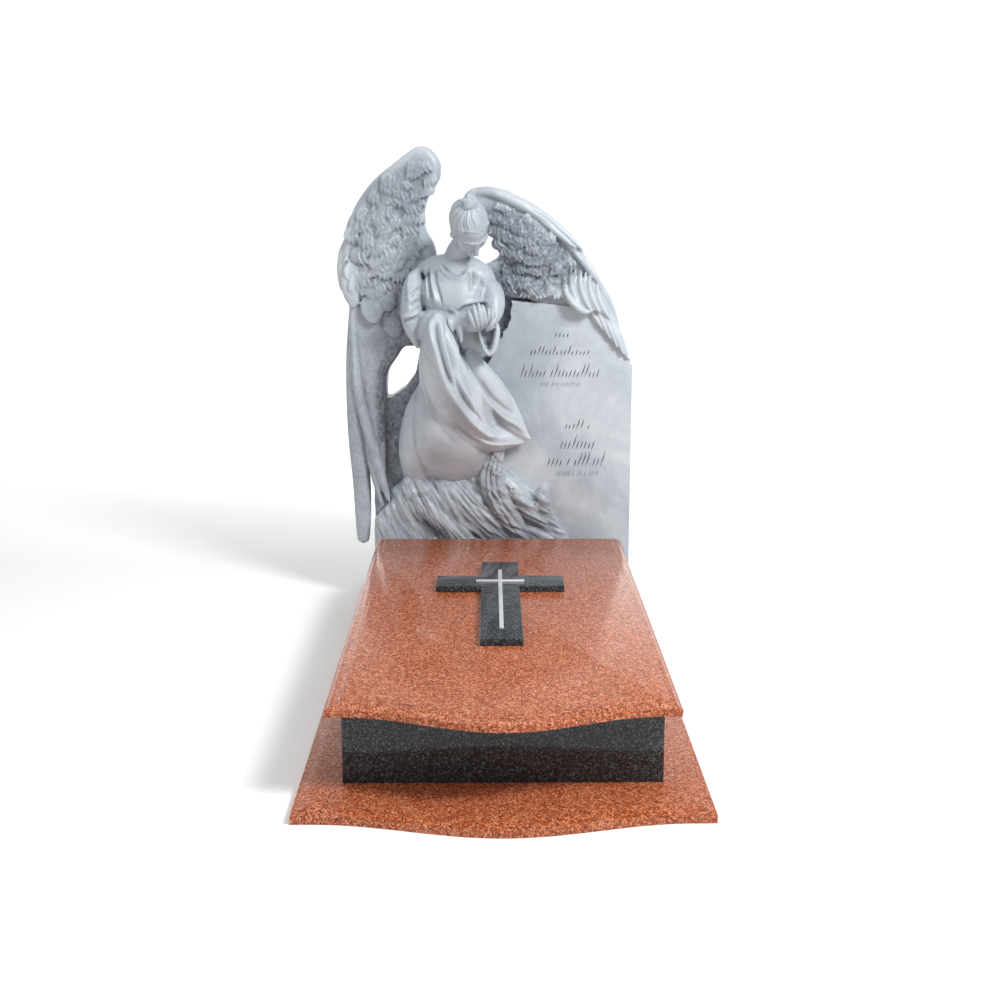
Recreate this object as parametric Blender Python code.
"""Grave monument: a carved marble angel headstone behind a low granite tomb.

Units are metres, +Z up. The tomb lies along Y, with its front towards -Y.
The origin is the centre of the base slab's underside.
"""
import math

import bmesh
import bpy
import numpy as np
from mathutils import Vector

# Base slab, red granite, bowed at the front
BASE_WIDTH = 1.00
BASE_THICK = 0.03
BASE_BOW = 0.075
BASE_EDGE = 0.022          # upright part of the slab's edge, below its sloped margin
BASE_MARGIN = 0.030        # width of the sloped margin
BASE_BACK_MARGIN = 0.0725  # granite left clear behind the headstone

# Kerb, dark granite, four upright slabs around a hollow
KERB_WIDTH = 0.785
KERB_HEIGHT = 0.20
KERB_WALL = 0.03
KERB_SETBACK = 0.1675      # from the base slab's straight front line to the kerb

# Ledger, red granite, bowed and moulded, lying on the kerb
LEDGER_WIDTH = 0.85
LEDGER_LENGTH = 1.668
LEDGER_THICK = 0.03
LEDGER_BOW = 0.10
LEDGER_FRONT_OVERHANG = 0.08
LEDGER_BACK_OVERHANG = 0.02
LEDGER_EDGE = 0.017        # upright part of the edge, below the ovolo
LEDGER_MARGIN = 0.035      # width of the moulding
BOW_FLAT = 0.10            # share of each front half that stays straight at the corner

# Cross of dark granite on the ledger, and the thin metal cross on it
CROSS_LENGTH = 0.80
CROSS_SPAN = 0.388
CROSS_ARM = 0.116
CROSS_THICK = 0.02
CROSS_BEVEL = 0.002
CROSS_HEAD_TO_BACK = 0.425  # from the cross's head to the ledger's back edge
CROSS_HEAD = 0.168         # from the cross's head to the upper side of its arms
METAL_LENGTH = 0.596
METAL_SPAN = 0.147
METAL_BAR = 0.012
METAL_THICK = 0.006
METAL_FROM_HEAD = 0.118
METAL_ARM_DROP = 0.114

# Headstone, one carved block of marble. Its carving is given in shares of its
# height: across, forward of its flat back, and up from its foot.
STONE_HEIGHT = 1.572
STONE_DEPTH = 0.245
STONE_GAP = 0.002          # between the ledger's back edge and the stone
STONE_VOXEL = 0.0062
STONE_TRIANGLES = 6900

JOINT_GAP = 0.0003         # bed between pieces that rest on each other

PROUD = STONE_HEIGHT / 1.572   # the carving's own numbers are for a stone 1.572 high
TOMB_FRONT = BASE_BOW + KERB_SETBACK - LEDGER_FRONT_OVERHANG
BASE_LENGTH = TOMB_FRONT + LEDGER_LENGTH + STONE_GAP + STONE_DEPTH * PROUD + BASE_BACK_MARGIN
BASE_FRONT = -BASE_LENGTH / 2 + BASE_BOW
KERB_FRONT = BASE_FRONT + KERB_SETBACK
LEDGER_FRONT = KERB_FRONT - LEDGER_FRONT_OVERHANG
LEDGER_BACK = LEDGER_FRONT + LEDGER_LENGTH
KERB_BACK = LEDGER_BACK - LEDGER_BACK_OVERHANG
STONE_BACK = LEDGER_BACK + STONE_GAP + STONE_DEPTH * PROUD
KERB_BED = BASE_THICK + JOINT_GAP
LEDGER_BED = KERB_BED + KERB_HEIGHT + JOINT_GAP
CROSS_BED = LEDGER_BED + LEDGER_THICK + JOINT_GAP
METAL_BED = CROSS_BED + CROSS_THICK + JOINT_GAP
STONE_BED = BASE_THICK + JOINT_GAP


def material(name, colour, rough, metal=0.0):
    m = bpy.data.materials.new(name)
    m.use_nodes = True
    p = m.node_tree.nodes["Principled BSDF"]
    p.inputs["Base Color"].default_value = (*colour, 1.0)
    p.inputs["Roughness"].default_value = rough
    p.inputs["Metallic"].default_value = metal
    m.diffuse_color = (*colour, 1.0)
    return m


def put(name, bm, mat, where=(0, 0, 0)):
    """Turn a finished bmesh into a named object under the monument's empty."""
    bmesh.ops.recalc_face_normals(bm, faces=bm.faces)
    me = bpy.data.meshes.new(name)
    bm.to_mesh(me)
    bm.free()
    me.materials.append(mat)
    ob = bpy.data.objects.new(name, me)
    ob.location = where
    ob.parent = bpy.data.objects["monument"]
    bpy.context.collection.objects.link(ob)
    return ob


def lift(bm, face, ring, first=False):
    """Extrude a face and set its new edge loop on the given ring."""
    got = bmesh.ops.extrude_face_region(bm, geom=[face])["geom"]
    top = next(g for g in got if isinstance(g, bmesh.types.BMFace))
    for v, p in zip(top.verts, ring):
        v.co = p
    if not first:
        bmesh.ops.delete(bm, geom=[face], context="FACES_ONLY")
    return top


def stack(rings):
    """Closed solid through equal rings, from its underside up."""
    bm = bmesh.new()
    face = bm.faces.new([bm.verts.new(p) for p in rings[0]])
    for i, ring in enumerate(rings[1:]):
        face = lift(bm, face, ring, first=i == 0)
    return bm


def bowed(width, front, bow, back, z, n=28):
    """Outline of a slab whose front edge swells smoothly to its middle."""
    pts = []
    for i in range(n + 1):
        x = -width / 2 + width * i / n
        t = min(1.0, abs(2 * x / width) / (1 - BOW_FLAT))
        pts.append(Vector((x, front - bow * 0.5 * (1 + math.cos(math.pi * t)), z)))
    return pts + [Vector((width / 2, back, z)), Vector((-width / 2, back, z))]


def moulded_slab(width, front, bow, back, profile):
    """profile: (inset, height) pairs from the underside's edge to the top's."""
    return stack([bowed(width - 2 * i, front + i, bow, back - i, z) for i, z in profile])


def block(size, bevel=0.0):
    bm = bmesh.new()
    bmesh.ops.create_cube(bm, size=1.0)
    bmesh.ops.scale(bm, verts=bm.verts, vec=size)
    bmesh.ops.translate(bm, verts=bm.verts, vec=(0, 0, size[2] / 2))
    if bevel:
        top = [e for e in bm.edges if all(v.co.z > size[2] / 2 for v in e.verts)]
        bmesh.ops.bevel(bm, geom=top, offset=bevel, segments=1, affect="EDGES")
    return bm


def cross(length, span, arm, drop, thick, bevel):
    """Latin cross lying flat, its head towards +Y and its head end at y = 0."""
    a, s = arm / 2, span / 2
    pts = [(-a, 0), (-a, -drop), (-s, -drop), (-s, -drop - arm), (-a, -drop - arm), (-a, -length),
           (a, -length), (a, -drop - arm), (s, -drop - arm), (s, -drop), (a, -drop), (a, 0)]
    bm = stack([[Vector((x, y, z)) for x, y in pts] for z in (0.0, thick)])
    if bevel:
        top = [e for e in bm.edges if all(v.co.z > thick / 2 for v in e.verts)]
        bmesh.ops.bevel(bm, geom=top, offset=bevel, segments=1, affect="EDGES")
    return bm


# Carving tools. A form is a sphere drawn out along a path, or a cut plate.

def curve(pts, ts):
    """Points of a smooth curve through pts at the shares ts of its length."""
    p = np.array(pts, float)
    p = np.vstack([2 * p[0] - p[1], p, 2 * p[-1] - p[-2]])
    s = np.clip(np.asarray(ts, float), 0, 1) * (len(pts) - 1)
    k = np.minimum(s.astype(int), len(pts) - 2)
    f = (s - k)[:, None]
    a, b, c, d = p[k], p[k + 1], p[k + 2], p[k + 3]
    return 0.5 * (2 * b + (c - a) * f + (2 * a - 5 * b + 4 * c - d) * f**2
                  + (3 * b - a - 3 * c + d) * f**3)


def share(values, ts):
    return np.interp(ts, np.linspace(0, 1, len(values)), values)


def limb(bm, path, wide, deep, blunt=0.45, face=(0, 1, 0), seg=14, rings=18, ripple=None):
    """Sphere drawn out along path, wide across it and deep towards face."""
    got = bmesh.ops.create_uvsphere(bm, u_segments=seg, v_segments=rings, radius=1.0)
    co = np.array([v.co for v in got["verts"]])
    polar = np.arccos(np.clip(co[:, 2], -1, 1))
    t, a = polar / math.pi, np.arctan2(co[:, 1], co[:, 0])
    mid = curve(path, t)
    run = curve(path, np.minimum(t + 0.01, 1)) - curve(path, np.maximum(t - 0.01, 0))
    run /= np.linalg.norm(run, axis=1)[:, None]
    out = np.array(face, float) - run * (run @ np.array(face, float))[:, None]
    out /= np.linalg.norm(out, axis=1)[:, None]
    side = np.cross(run, out)
    r = np.sin(polar) ** blunt
    if ripple is not None:
        r = r * (1 + ripple(a, t))
    pos = (mid + side * (np.cos(a) * share(wide, t) * r)[:, None]
           + out * (np.sin(a) * share(deep, t) * r)[:, None])
    for v, p in zip(got["verts"], pos):
        v.co = p


def ball(bm, at, size, seg=16):
    limb(bm, [(at[0], at[1], at[2] + size[2]), (at[0], at[1], at[2] - size[2])],
         [size[0]] * 3, [size[1]] * 3, blunt=1.0, seg=seg, rings=seg)
    return bm


def plate(bm, outline, back, front, n=None, round_off=0.0):
    """Plate of the given outline (across, up) between two depths."""
    pts = [Vector((x, back, z)) for x, z in (smooth_loop(outline, n) if n else outline)]
    base = bm.faces.new([bm.verts.new(p) for p in pts])
    if round_off:
        mid = [Vector((p.x, front - round_off, p.z)) for p in pts]
        face = lift(bm, base, mid, first=True)
        top = lift(bm, face, [Vector((p.x, front, p.z)) for p in inward(mid, round_off)])
        return top
    return lift(bm, base, [Vector((p.x, front, p.z)) for p in pts], first=True)


def smooth_loop(outline, n):
    pts = list(outline) + [outline[0]]
    p = np.array([pts[-2]] + pts + [pts[1]], float)
    s = np.linspace(0, len(pts) - 1, n, endpoint=False)
    k = s.astype(int)
    f = (s - k)[:, None]
    a, b, c, d = p[k], p[k + 1], p[k + 2], p[k + 3]
    return 0.5 * (2 * b + (c - a) * f + (2 * a - 5 * b + 4 * c - d) * f**2
                  + (3 * b - a - 3 * c + d) * f**3)


def inward(pts, by):
    """Move a loop's points inward across its own plane."""
    n = len(pts)
    area = sum(pts[i].x * pts[(i + 1) % n].z - pts[(i + 1) % n].x * pts[i].z for i in range(n))
    turn = 1 if area > 0 else -1
    res = []
    for i in range(n):
        d = pts[(i + 1) % n] - pts[i - 1]
        d = Vector((-d.z, 0, d.x)).normalized() * turn
        res.append(pts[i] + d * by)
    return res


def feather(bm, root, tip, wide, deep, bend=0.0, seg=10, rings=14, tipwide=0.55, face=(0, 1, 0)):
    """Long leaf with a round tip, broadest in its middle, bending sideways."""
    a, b = np.array(root, float), np.array(tip, float)
    d = b - a
    side = np.cross(d, np.array(face, float))
    path = [a, a + d * 0.35 + side * bend, a + d * 0.7 + side * bend * 0.8, b]
    limb(bm, path, [wide * 0.55, wide * 0.95, wide, wide, wide * 0.9, wide * tipwide],
         [deep] * 4, blunt=0.5, face=face, seg=seg, rings=rings)


def fan(bm, roots, tips, count, wide, deep, lay, bend=0.0, **more):
    """Row of feathers from one line to another, each lying a little on the last."""
    ts = np.linspace(0, 1, count)
    for i, (r, t) in enumerate(zip(curve(roots, ts), curve(tips, ts))):
        step = np.array((0, lay * (i % 2), 0))
        feather(bm, r + step, t + step, share(wide, [ts[i]])[0], deep, bend, **more)


def carve_stele(bm):
    """Stele: a plain back plate, and the smooth panel raised on its right side."""
    plate(bm, [(-.444, -.03), (-.444, .66), (-.40, .705), (-.38, .703), (-.326, .742),
               (-.292, .79), (-.27, .90), (-.24, 1.07), (-.14, 1.17), (-.06, 1.14), (.0, 1.15),
               (.05, 1.09), (.30, 1.04), (.36, .95), (.458, .83), (.458, -.03)], 0, 0.115)
    plate(bm, [(.045, 1.048), (.30, 1.024), (.392, .925), (.468, .822), (.468, -.03), (-.06, -.03),
               (-.06, .80), (.0, .905), (.036, .975)], 0.03, 0.160, round_off=0.004)


def carve_left_wing(bm):
    """Raised wing on the left, its tip below and its bend above the shoulder."""
    plate(bm, [(-.215, 1.16), (-.222, 1.235), (-.248, 1.285), (-.255, 1.33), (-.245, 1.385),
               (-.215, 1.434), (-.198, 1.47), (-.199, 1.515), (-.224, 1.553), (-.250, 1.568),
               (-.283, 1.564), (-.327, 1.535), (-.395, 1.482), (-.448, 1.424), (-.488, 1.364),
               (-.518, 1.320), (-.534, 1.256), (-.548, 1.175), (-.540, 1.10), (-.524, 1.05),
               (-.510, .84), (-.500, .62), (-.470, .56), (-.44, .50), (-.40, .60), (-.395, .70),
               (-.392, .775), (-.382, .808), (-.355, .848), (-.331, .882), (-.29, .892),
               (-.25, .95)], 0.03, 0.142, n=110, round_off=0.028)
    limb(bm, [(-.27, .10, 1.535), (-.34, .095, 1.50), (-.42, .095, 1.43), (-.49, .095, 1.33),
              (-.52, .095, 1.22)], [.026, .026, .026, .026, .026], [.034] * 4, rings=30)
    limb(bm, [(-.33, .10, 1.46), (-.38, .105, 1.36), (-.41, .11, 1.22), (-.42, .11, 1.06),
              (-.41, .10, .90)], [.03, .08, .105, .10, .08], [.03, .048, .055, .055, .046],
         rings=26, seg=20)
    # Long flight feathers, then the rounded coverts over their roots
    limb(bm, [(-.495, .115, 1.12), (-.507, .12, .85), (-.503, .12, .60), (-.488, .12, .38),
              (-.487, .12, .174)], [.022, .030, .033, .034, .033], [.026] * 4, blunt=.16, rings=40)
    limb(bm, [(-.425, .125, .98), (-.436, .13, .80), (-.437, .132, .65), (-.425, .136, .50),
              (-.405, .14, .34)], [.040, .042, .038, .028, .012], [.020] * 4, blunt=.4, rings=30)
    limb(bm, [(-.475, .125, .78), (-.458, .135, .58), (-.440, .145, .44), (-.411, .150, .312)],
         [.014, .019, .018, .013], [.020] * 4, blunt=.35, rings=26)
    limb(bm, [(-.510, .13, 1.04), (-.503, .14, .85), (-.489, .145, .72), (-.462, .15, .60),
              (-.425, .158, .46), (-.387, .165, .333)], [.022, .018, .017, .019, .022, .017],
         [.022] * 4, blunt=.35, rings=36)
    feather(bm, (-.532, .105, 1.24), (-.545, .12, 1.075), .026, .022, tipwide=.9)
    for roots, tips, count in (
            ([(-.51, .135, 1.16), (-.44, .145, 1.10), (-.37, .145, 1.04)],
             [(-.512, .152, 1.00), (-.45, .160, .95), (-.38, .158, .88)], 5),
            ([(-.52, .13, 1.27), (-.44, .145, 1.20), (-.34, .145, 1.12)],
             [(-.530, .148, 1.12), (-.46, .162, 1.07), (-.36, .158, .98)], 6),
            ([(-.50, .125, 1.37), (-.42, .145, 1.31), (-.31, .14, 1.24)],
             [(-.525, .142, 1.24), (-.45, .160, 1.19), (-.34, .156, 1.11)], 6),
            ([(-.45, .12, 1.44), (-.37, .14, 1.40), (-.30, .135, 1.34)],
             [(-.490, .138, 1.33), (-.41, .154, 1.29), (-.33, .150, 1.23)], 5)):
        fan(bm, roots, tips, count, [.030, .028], .012, .006, tipwide=.9)


def carve_right_wing(bm):
    """Folded wing on the right, arching from behind the head over the panel."""
    plate(bm, [(-.12, 1.30), (-.122, 1.36), (-.118, 1.402), (-.088, 1.428), (-.036, 1.433),
               (.020, 1.425), (.075, 1.398), (.150, 1.353), (.214, 1.303), (.262, 1.254),
               (.295, 1.21), (.314, 1.178), (.362, 1.104), (.390, 1.058), (.414, .993),
               (.428, .934), (.452, .87), (.464, .825), (.42, .855), (.36, .94), (.30, 1.02),
               (.25, 1.035), (.143, 1.050), (.05, 1.055), (-.01, 1.08), (-.06, 1.15),
               (-.022, 1.18), (-.001, 1.194), (.004, 1.225), (-.010, 1.253), (-.034, 1.266),
               (-.06, 1.28)], 0.03, 0.150, n=110, round_off=0.02)
    limb(bm, [(-.100, .12, 1.37), (-.078, .125, 1.405), (-.03, .13, 1.412), (.06, .13, 1.380),
              (.15, .13, 1.328), (.235, .13, 1.255), (.305, .125, 1.16), (.365, .12, 1.06),
              (.40, .12, .98)],
         [.026, .028, .028, .028, .026, .024, .022], [.04, .046, .048, .048, .048, .046, .044],
         rings=40)
    limb(bm, [(-.02, .12, 1.36), (.05, .13, 1.29), (.14, .135, 1.20), (.26, .135, 1.12)],
         [.04, .10, .12, .07], [.03, .048, .05, .044], rings=22, seg=20)
    feather(bm, (.19, .155, 1.31), (.297, .16, 1.216), .015, .014)
    fan(bm, [(.27, .15, 1.16), (.31, .15, 1.13), (.345, .15, 1.08), (.375, .15, 1.03)],
        [(.375, .165, .925), (.405, .165, .885), (.44, .16, .845), (.458, .155, .835)],
        5, [.020, .017], .016, .006, rings=16, tipwide=.5)
    fan(bm, [(.22, .155, 1.15), (.25, .16, 1.17), (.30, .16, 1.15), (.34, .155, 1.12)],
        [(.245, .175, 1.03), (.29, .183, 1.012), (.335, .18, 1.02), (.385, .17, .985)],
        5, [.026, .024], .014, .006, tipwide=.9)
    for roots, tips, count in (
            ([(.01, .15, 1.17), (.09, .155, 1.17), (.18, .155, 1.15)],
             [(.02, .172, 1.065), (.10, .178, 1.062), (.19, .178, 1.05)], 6),
            ([(.03, .15, 1.28), (.11, .16, 1.25), (.21, .16, 1.20)],
             [(.04, .168, 1.17), (.13, .176, 1.15), (.24, .172, 1.11)], 6)):
        fan(bm, roots, tips, count, [.024, .026], .010, .005, tipwide=.95)


def carve_rock(bm):
    """Rock at the foot, with the root and the broken stub of a tree."""
    plate(bm, [(-.444, -.03), (-.444, .27), (-.37, .36), (-.32, .47), (-.10, .47), (-.04, .44),
               (.05, .455), (.087, .405), (.134, .370), (.192, .310), (.255, .20),
               (.27, -.03)], 0.05, 0.180,
          round_off=.03)
    limb(bm, [(-.44, .12, .05), (-.20, .13, .09), (.0, .13, .08), (.20, .11, .03)],
         [.13, .17, .16, .10], [.08, .085, .085, .06], blunt=.3, seg=20)
    limb(bm, [(-.42, .11, .22), (-.22, .13, .33), (-.02, .13, .28), (.14, .12, .18)],
         [.08, .12, .12, .08], [.06, .085, .085, .065], blunt=.4, seg=20)
    limb(bm, [(-.40, .12, .36), (-.29, .150, .40), (-.17, .155, .395), (-.07, .15, .36)],
         [.05, .055, .055, .05], [.05, .070, .070, .06], blunt=.4, rings=24, seg=18)
    # Tree root: its broken top under the hem, its trunk and toes down to the right
    limb(bm, [(.026, .19, .575), (-.006, .195, .515), (-.022, .19, .45), (-.008, .185, .37),
              (.035, .170, .29), (.09, .15, .20), (.15, .12, .08)],
         [.026, .038, .042, .046, .050, .05, .04], [.036, .042, .046, .050, .052, .05, .04],
         rings=30, seg=18)
    limb(bm, [(.005, .175, .455), (.052, .18, .390), (.11, .17, .315), (.17, .15, .235),
              (.235, .12, .11)], [.026, .034, .036, .034, .03], [.035, .042, .042, .036, .03],
         rings=24)
    limb(bm, [(.162, .165, .400), (.158, .17, .365), (.155, .165, .31), (.180, .14, .23),
              (.23, .12, .12)], [.026, .028, .032, .034, .03], [.026, .032, .034, .03, .03],
         blunt=.25, rings=20)
    # Broad ridges of weathered rock, running down to the right
    for i in range(6):
        x, h = -.38 + .075 * i, .36 - .022 * i + .03 * math.sin(i * 1.9)
        limb(bm, [(x, .165, h), (x + .06, .185, h - .07), (x + .12, .185, h - .15),
                  (x + .18, .175, h - .25)], [.014, .022, .024, .020], [.020, .030, .034, .030],
             seg=10)


def carve_robe(bm):
    """Robe: raised knee in front, cloth swept down to the right, and the kneeling leg."""
    # Thigh from the hip forward to the raised knee
    limb(bm, [(-.20, .13, .95), (-.205, .26, .960), (-.206, .372, .968)], [.080, .072, .056],
         [.10, .08, .055], face=(0, 0, 1), blunt=.45)
    # The gown from the knee to the hem: one broad mass, then the shin in front of it
    limb(bm, [(-.205, .22, 1.005), (-.205, .24, .90), (-.178, .235, .80), (-.140, .22, .72),
              (-.088, .205, .645), (-.025, .20, .595), (.045, .20, .575), (.105, .20, .580)],
         [.050, .084, .108, .122, .120, .085, .045, .018],
         [.09, .13, .135, .13, .115, .09, .06, .03], rings=40, seg=30, blunt=.32)
    limb(bm, [(-.203, .33, 1.024), (-.206, .345, .95), (-.193, .335, .86), (-.165, .315, .77),
              (-.120, .285, .69), (-.060, .250, .625), (.005, .225, .590), (.06, .205, .580)],
         [.044, .062, .074, .082, .082, .066, .040, .018],
         [.06, .085, .085, .080, .072, .058, .042, .025], rings=40, seg=30, blunt=.35)
    # Sheet on the right, from the lap down to the far hem
    limb(bm, [(-.110, .28, .90), (-.072, .27, .83), (-.032, .25, .76), (.008, .232, .69),
              (.046, .218, .632), (.085, .212, .590), (.112, .21, .574)],
         [.030, .042, .050, .052, .044, .028, .010], [.045, .055, .055, .05, .042, .028, .015],
         rings=34, seg=20, blunt=.35)
    # Ridges of the folds fanning from the knee down to the hem
    for path, w in (
            ([(-.228, .400, 1.01), (-.221, .420, .946), (-.200, .415, .860), (-.175, .390, .785),
              (-.139, .360, .721), (-.088, .320, .649), (-.02, .270, .590)], .010),
            ([(-.200, .395, 1.014), (-.185, .425, .946), (-.165, .415, .860), (-.134, .385, .786),
              (-.100, .350, .725), (-.055, .310, .660), (.02, .250, .588)], .010),
            ([(-.169, .385, 1.017), (-.155, .405, .950), (-.138, .395, .880), (-.110, .365, .790),
              (-.067, .325, .686), (-.030, .295, .624), (.03, .245, .585)], .011)):
        limb(bm, path, [w * .8, w, w * 1.1, w], [w, w * 1.4, w * 1.4, w], seg=8, rings=30)
    # Kneeling leg and the cloth spread over the rock, which sink into it below
    limb(bm, [(-.276, .15, .752), (-.290, .175, .68), (-.292, .180, .60), (-.288, .160, .52),
              (-.28, .12, .43), (-.27, .06, .33)], [.020, .040, .054, .066, .074, .07],
         [.05, .062, .070, .070, .065, .05], rings=30, seg=20, blunt=.4)
    limb(bm, [(-.235, .16, .84), (-.230, .185, .73), (-.218, .190, .62), (-.205, .165, .53),
              (-.195, .12, .44), (-.185, .06, .34)], [.06, .085, .115, .135, .145, .13],
         [.07, .080, .080, .075, .070, .05], rings=34, seg=26, blunt=.35)
    # Lap under the hands
    limb(bm, [(-.17, .22, .99), (-.10, .23, .93), (-.05, .20, .86)], [.06, .06, .04],
         [.07, .07, .05])


def carve_body(bm):
    """Leaning torso, both arms in wide sleeves, and the joined hands."""
    limb(bm, [(-.185, .13, .90), (-.165, .17, 1.0), (-.145, .205, 1.075), (-.140, .205, 1.13),
              (-.150, .17, 1.185)], [.085, .105, .128, .128, .075], [.10, .115, .125, .095, .05],
         rings=24, seg=22)
    limb(bm, [(-.285, .175, 1.148), (-.215, .195, 1.160), (-.13, .215, 1.150), (-.06, .225, 1.122),
              (-.018, .220, 1.075)], [.040, .052, .062, .062, .050], [.055, .065, .07, .07, .06])
    # Left sleeve, its elbow, and the forearm that passes behind the knee
    limb(bm, [(-.272, .19, 1.162), (-.290, .215, 1.11), (-.294, .235, 1.05), (-.297, .245, 1.00),
              (-.291, .245, .95), (-.276, .25, .89)], [.036, .041, .039, .038, .034, .020],
         [.05, .056, .056, .052, .044, .03], rings=30)
    limb(bm, [(-.285, .25, 1.01), (-.20, .29, .985), (-.12, .335, .998), (-.085, .355, 1.003)],
         [.035, .033, .030, .024], [.04, .038, .030, .022])
    # Right sleeve: round shoulder, elbow low, forearm back to the hands
    limb(bm, [(-.055, .195, 1.13), (-.026, .230, 1.085), (-.020, .262, 1.038), (-.024, .30, 1.003),
              (-.040, .345, .990)], [.044, .047, .041, .034, .024], [.05, .054, .048, .036, .026],
         rings=30, blunt=.5)
    # Hanging mouths of both sleeves: a rim of cloth before the hollow of the sleeve
    limb(bm, [(-.036, .318, .998), (-.035, .312, .945), (-.032, .316, .905), (-.031, .320, .884)],
         [.034, .036, .026, .010], [.022, .022, .020, .010], blunt=.35)
    limb(bm, [(-.050, .352, .985), (-.064, .350, .962), (-.057, .350, .925), (-.045, .352, .895),
              (-.031, .354, .883), (-.016, .352, .897), (-.006, .348, .928), (-.001, .345, .965),
              (-.012, .345, .990)], [.0085, .0090, .0090, .0090, .0095, .0090, .0090, .0090, .008],
         [.016, .018, .018, .018, .018, .018, .018, .018, .016], rings=50, seg=10, blunt=.2)
    limb(bm, [(-.135, .318, 1.00), (-.130, .332, .965), (-.125, .338, .915)], [.020, .016, .006],
         [.030, .026, .012])
    # Hands held together, fingers upright
    limb(bm, [(-.135, .325, 1.000), (-.105, .346, 1.002), (-.082, .360, 1.006)],
         [.024, .025, .020], [.020, .022, .020], blunt=.4)
    limb(bm, [(-.098, .350, .984), (-.068, .368, .976), (-.036, .364, .972)], [.016, .019, .014],
         [.018, .020, .016], blunt=.5)
    limb(bm, [(-.078, .358, .980), (-.070, .372, 1.002), (-.072, .372, 1.030)],
         [.024, .030, .026], [.018, .018, .014], blunt=.4)
    limb(bm, [(-.030, .352, .975), (-.024, .362, .998), (-.027, .362, 1.022)], [.016, .020, .016],
         [.016, .016, .014], blunt=.4)
    for i in range(3):
        x = -.092 + .0180 * i
        limb(bm, [(x + .016, .374, .976), (x + .005, .392, 1.004), (x + .001, .394, 1.028),
                  (x, .386, 1.048)], [.0094, .0092, .0088, .0076], [.0105, .0100, .0094, .0080],
             seg=8, rings=16, blunt=.3)
    limb(bm, [(-.026, .372, .980), (-.008, .384, 1.000), (-.006, .386, 1.020)],
         [.0105, .0096, .0080], [.0110, .0100, .0080], seg=8, rings=14, blunt=.35)


def carve_head(bm):
    """Head bowed to the right, hair gathered up in a band and a knot."""
    limb(bm, [(-.160, .19, 1.16), (-.145, .235, 1.20), (-.125, .285, 1.245)],
         [.045, .036, .036], [.045, .036, .036], blunt=.3)
    # Skull and hair, then the face below it, turned down to the right
    ball(bm, (-.098, .30, 1.292), (.062, .072, .066))
    limb(bm, [(-.120, .315, 1.285), (-.090, .340, 1.245), (-.070, .345, 1.21),
              (-.082, .335, 1.185)], [.045, .040, .030, .016], [.05, .045, .036, .02],
         face=(.5, .6, -.6), rings=22)
    limb(bm, [(-.062, .372, 1.232), (-.050, .382, 1.215)], [.006, .009], [.010, .012], seg=8,
         rings=8)
    # Hair: knot on the crown, nape roll, and rolled locks round the face
    ball(bm, (-.100, .275, 1.362), (.030, .034, .028))
    ball(bm, (-.140, .285, 1.262), (.030, .045, .032))
    limb(bm, [(-.150, .30, 1.30), (-.125, .352, 1.285), (-.085, .372, 1.262),
              (-.048, .355, 1.245)], [.018, .02, .02, .014], [.018] * 3, rings=16)
    limb(bm, [(-.115, .29, 1.355), (-.07, .30, 1.345), (-.04, .305, 1.30), (-.042, .325, 1.255)],
         [.024, .026, .024, .016], [.03] * 3, rings=16)
    # Stone left between the head and the wing behind it
    limb(bm, [(-.085, .10, 1.335), (-.092, .22, 1.325), (-.095, .28, 1.315)], [.036, .034, .034],
         [.038, .036, .036], blunt=.25)


def headstone(mat):
    bm = bmesh.new()
    for carve in (carve_stele, carve_left_wing, carve_right_wing, carve_rock, carve_robe,
                  carve_body, carve_head):
        carve(bm)
    # From shares to the block's own size: forward runs towards -Y from the flat back
    for v in bm.verts:
        v.co = Vector((v.co.x, -v.co.y, v.co.z)) * PROUD
    bmesh.ops.recalc_face_normals(bm, faces=bm.faces)
    ob = put("headstone", bm, mat, (0, STONE_BACK, STONE_BED))
    me = shrink(ob, STONE_VOXEL * PROUD, STONE_TRIANGLES)
    ob.data = me
    me.materials.clear()
    me.materials.append(mat)
    return ob


def settled(ob):
    """Mesh of an object with its modifiers worked in."""
    bpy.context.view_layer.update()
    deps = bpy.context.evaluated_depsgraph_get()
    me = bpy.data.meshes.new_from_object(ob.evaluated_get(deps))
    ob.modifiers.clear()
    return me


def shrink(ob, voxel, triangles):
    """Merge the overlapping forms, keep the one outer skin, thin it and cut its foot flat."""
    m = ob.modifiers.new("merge", "REMESH")
    m.mode = "VOXEL"
    m.voxel_size = voxel
    ob.data = settled(ob)
    bm = bmesh.new()
    bm.from_mesh(ob.data)
    keep_largest(bm)
    bmesh.ops.smooth_vert(bm, verts=bm.verts, factor=0.5, use_axis_x=True, use_axis_y=True,
                          use_axis_z=True)
    cut = bmesh.ops.bisect_plane(bm, geom=bm.verts[:] + bm.edges[:] + bm.faces[:],
                                 plane_co=(0, 0, 0), plane_no=(0, 0, -1), clear_outer=True)
    rim = [e for e in cut["geom_cut"] if isinstance(e, bmesh.types.BMEdge)]
    bmesh.ops.holes_fill(bm, edges=rim, sides=0)
    bmesh.ops.triangulate(bm, faces=bm.faces)
    keep_largest(bm)
    bm.to_mesh(ob.data)
    count = len(bm.faces)
    bm.free()
    m = ob.modifiers.new("thin", "DECIMATE")
    m.ratio = triangles / count
    m.use_collapse_triangulate = True
    me = settled(ob)
    # The foot's corners return to the bed plane exactly
    low = np.array([v.co.z for v in me.vertices])
    for i in np.nonzero(low < 0.0015)[0]:
        me.vertices[int(i)].co.z = 0.0
    return me


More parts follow.
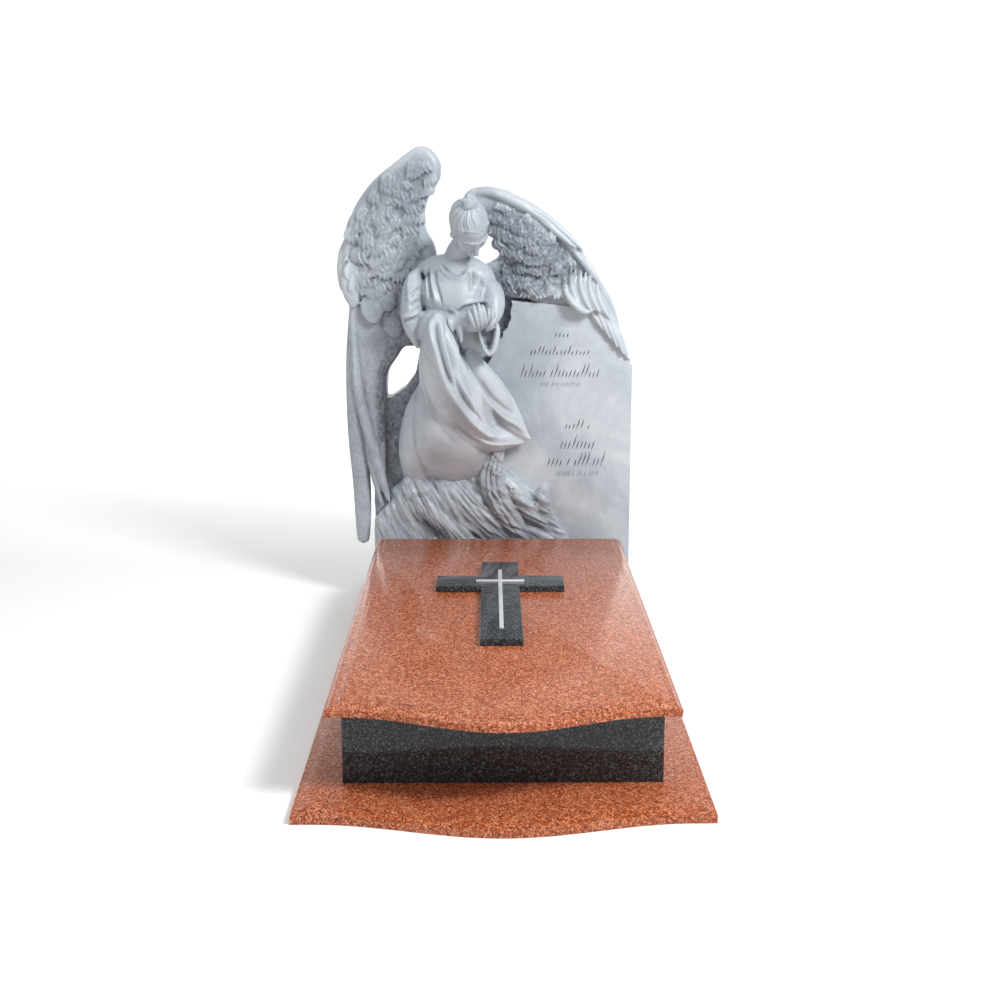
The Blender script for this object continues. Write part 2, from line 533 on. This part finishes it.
def keep_largest(bm):
    """Delete every shell but the one with the most faces."""
    seen, shells = set(), []
    for f in bm.faces:
        if f in seen:
            continue
        shell, todo = [], [f]
        seen.add(f)
        while todo:
            g = todo.pop()
            shell.append(g)
            for e in g.edges:
                for h in e.link_faces:
                    if h not in seen:
                        seen.add(h)
                        todo.append(h)
        shells.append(shell)
    shells.sort(key=len)
    for shell in shells[:-1]:
        bmesh.ops.delete(bm, geom=shell, context="FACES")


def main():
    for ob in list(bpy.data.objects):
        bpy.data.objects.remove(ob)
    bpy.context.collection.objects.link(bpy.data.objects.new("monument", None))

    red = material("red_granite", (0.42, 0.13, 0.07), 0.15)
    dark = material("dark_granite", (0.045, 0.048, 0.052), 0.12)
    marble = material("marble", (0.62, 0.64, 0.67), 0.45)
    metal = material("light_metal", (0.70, 0.71, 0.72), 0.35, 1.0)

    half = BASE_LENGTH / 2
    put("base_slab", moulded_slab(BASE_WIDTH, BASE_FRONT, BASE_BOW, half, (
        (0, 0), (0, BASE_EDGE), (BASE_MARGIN, BASE_THICK))), red)

    wall, g = KERB_WALL, JOINT_GAP
    put("kerb_front", block((KERB_WIDTH, wall, KERB_HEIGHT)), dark,
        (0, KERB_FRONT + wall / 2, KERB_BED))
    put("kerb_back", block((KERB_WIDTH, wall, KERB_HEIGHT)), dark,
        (0, KERB_BACK - wall / 2, KERB_BED))
    side = KERB_BACK - KERB_FRONT - 2 * wall - 2 * g
    for name, sign in (("kerb_left", -1), ("kerb_right", 1)):
        put(name, block((wall, side, KERB_HEIGHT)), dark,
            (sign * (KERB_WIDTH - wall) / 2, (KERB_FRONT + KERB_BACK) / 2, KERB_BED))

    rise, run = LEDGER_THICK - LEDGER_EDGE, LEDGER_MARGIN
    put("ledger", moulded_slab(LEDGER_WIDTH, LEDGER_FRONT, LEDGER_BOW, LEDGER_BACK, (
        (0, 0), (0, LEDGER_EDGE), (run * .12, LEDGER_EDGE + rise * .32),
        (run * .45, LEDGER_EDGE + rise * .72), (run, LEDGER_THICK))), red, (0, 0, LEDGER_BED))

    head = LEDGER_BACK - CROSS_HEAD_TO_BACK
    put("cross_stone", cross(CROSS_LENGTH, CROSS_SPAN, CROSS_ARM, CROSS_HEAD, CROSS_THICK,
                             CROSS_BEVEL), dark, (0, head, CROSS_BED))
    put("cross_metal", cross(METAL_LENGTH, METAL_SPAN, METAL_BAR, METAL_ARM_DROP, METAL_THICK,
                             0), metal, (0, head - METAL_FROM_HEAD, METAL_BED))
    headstone(marble)


main()
